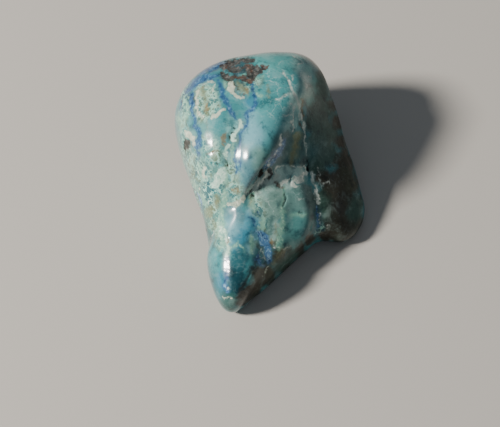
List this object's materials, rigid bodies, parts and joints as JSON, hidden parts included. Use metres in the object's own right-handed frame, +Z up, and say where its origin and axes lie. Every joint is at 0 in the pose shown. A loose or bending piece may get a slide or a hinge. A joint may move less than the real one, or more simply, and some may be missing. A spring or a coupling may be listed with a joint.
{
  "type": "tumbled mineral pebble",
  "caption": "Tumbled and polished pebble of veined blue-green copper silicate, with a domed crown, a blunt nose and a flat belly to lie on.",
  "frame": {"origin": "under the middle of the stone's box, on the surface that it lies on", "axes": "+Y runs along the stone from its blunt nose to its broad back, +Z is up from the flat belly and +X is to the right of a viewer who faces the nose"},
  "size_m": [0.0264, 0.036, 0.0174],
  "materials": {
    "polished stone": "tumble polished"
  },
  "bodies": {
    "root": {"stone": "polished stone"}
  },
  "joints": []
}
